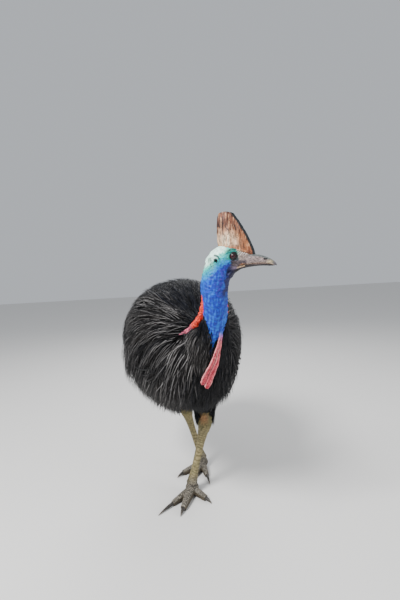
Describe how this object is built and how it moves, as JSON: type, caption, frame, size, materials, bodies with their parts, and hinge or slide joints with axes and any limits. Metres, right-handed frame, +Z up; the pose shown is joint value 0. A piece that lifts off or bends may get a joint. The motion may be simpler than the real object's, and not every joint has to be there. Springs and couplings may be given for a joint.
{
  "type": "southern cassowary, standing, still model",
  "caption": "Life-size still model of a southern cassowary standing with its neck lowered forward and its head turned to its left, with casque, wattles and hair-like black plumage.",
  "frame": {"origin": "middle of the whole's extent in X and Y, on the floor under the soles", "axes": "+Z up, the body faces -Y, and the bird's left side is +X"},
  "size_m": [0.494, 1.111, 1.149],
  "materials": {
    "bill_horn": "grey-brown horn",
    "blue_skin": "bare cobalt blue skin, finely wrinkled",
    "casque_horn": "brown striated horn",
    "claw_horn": "dark worn horn",
    "eyeball": "wet, dark red-brown iris",
    "leg_scale": "olive and grey scutes",
    "pale_skin": "bare skin, mint white on the crown turning to turquoise",
    "plumage": "black hair-like plumage with a low brown sheen",
    "wattle_skin": "bare pink and crimson skin with a slight gloss",
    "wing_quill": "bare black keratin quills"
  },
  "bodies": {
    "root": {"bill_lower": "bill_horn", "bill_upper": "bill_horn", "casque": "casque_horn", "claw_left_inner": "claw_horn", "claw_left_middle": "claw_horn", "claw_left_outer": "claw_horn", "claw_right_inner": "claw_horn", "claw_right_middle": "claw_horn", "claw_right_outer": "claw_horn", "eye_left": "eyeball", "eye_right": "eyeball", "foot_left": "leg_scale", "foot_right": "leg_scale", "head": "pale_skin", "neck": "blue_skin", "shank_left": "leg_scale", "shank_right": "leg_scale", "tail": "plumage", "thigh_left": "plumage", "thigh_right": "plumage", "torso": "plumage", "wattle_left": "wattle_skin", "wattle_right": "wattle_skin", "wing_left": "wing_quill", "wing_right": "wing_quill"}
  },
  "joints": []
}
